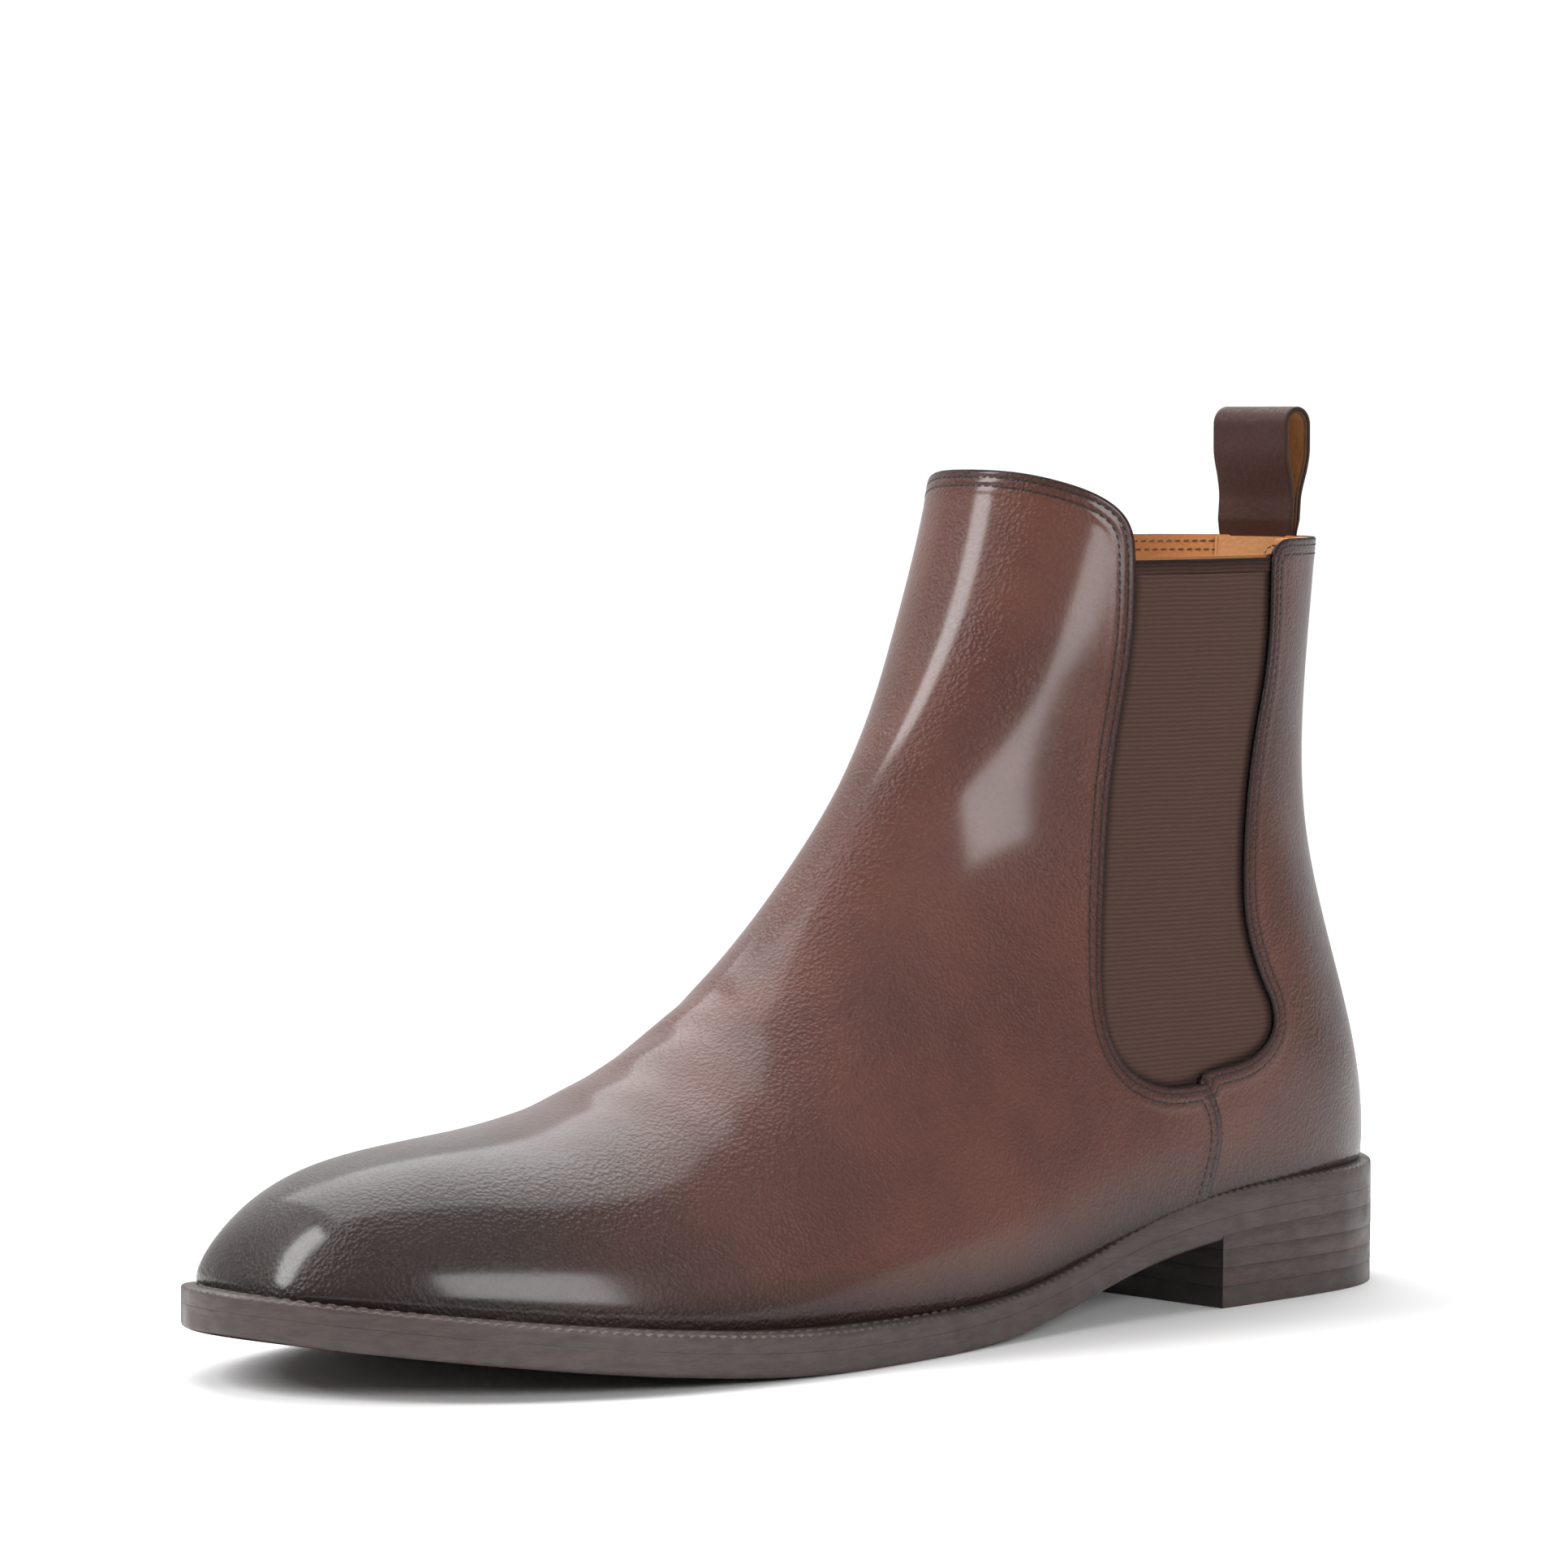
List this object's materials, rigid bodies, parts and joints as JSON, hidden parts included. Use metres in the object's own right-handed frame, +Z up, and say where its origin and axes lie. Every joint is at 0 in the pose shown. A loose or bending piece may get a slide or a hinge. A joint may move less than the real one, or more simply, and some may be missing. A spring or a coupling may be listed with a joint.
{
  "type": "chelsea boot",
  "caption": "Left ankle boot in leather with elastic side gores, a pull loop at the back, a welted sole and a low stacked heel.",
  "frame": {"origin": "centre of the plan outline at floor level, under the lowest point of the sole", "axes": "+X towards the toe, +Y to the outer side of the foot, +Z up"},
  "size_m": [0.3048, 0.1106, 0.1925],
  "materials": {
    "upper_leather": "gloss",
    "elastic": "ribbed matt",
    "lining_leather": "satin",
    "loop_leather": "matt",
    "stiffener": "matt",
    "board": "matt",
    "foam": "matt",
    "cork": "matt",
    "steel": "brushed",
    "welt_leather": "matt",
    "outsole_leather": "matt",
    "heel_stack": "satin",
    "top_rubber": "matt",
    "nail_brass": "satin"
  },
  "bodies": {
    "boot": {"vamp": "upper_leather", "quarter_lateral": "upper_leather", "quarter_medial": "upper_leather", "back_stay": "upper_leather", "gore_lateral": "elastic", "gore_medial": "elastic", "gore_hem_lateral": "elastic", "gore_hem_medial": "elastic", "gore_facing_lateral": "lining_leather", "gore_facing_medial": "lining_leather", "vamp_lining": "lining_leather", "quarter_lining": "lining_leather", "sock_liner": "lining_leather", "toe_puff": "stiffener", "heel_counter": "stiffener", "insole_board": "board", "footbed_foam": "foam", "cork_filler": "cork", "shank": "steel", "welt": "welt_leather", "outsole": "outsole_leather", "heel_lift_1": "heel_stack", "heel_lift_2": "heel_stack", "heel_lift_3": "heel_stack", "heel_top_piece": "top_rubber", "heel_nails": "nail_brass", "pull_loop_tails": "loop_leather"},
    "pull_loop": {"pull_loop": "loop_leather", "pull_loop_backing": "lining_leather"}
  },
  "joints": [
    {"name": "pull_loop_fold", "type": "hinge", "parent": "boot", "child": "pull_loop", "pos_m": [-0.13055, 0.0026, 0.1662], "axis": [0, 1, 0], "range_deg": [-45, 75], "stiffness_Nm_per_rad": 0.05}
  ]
}
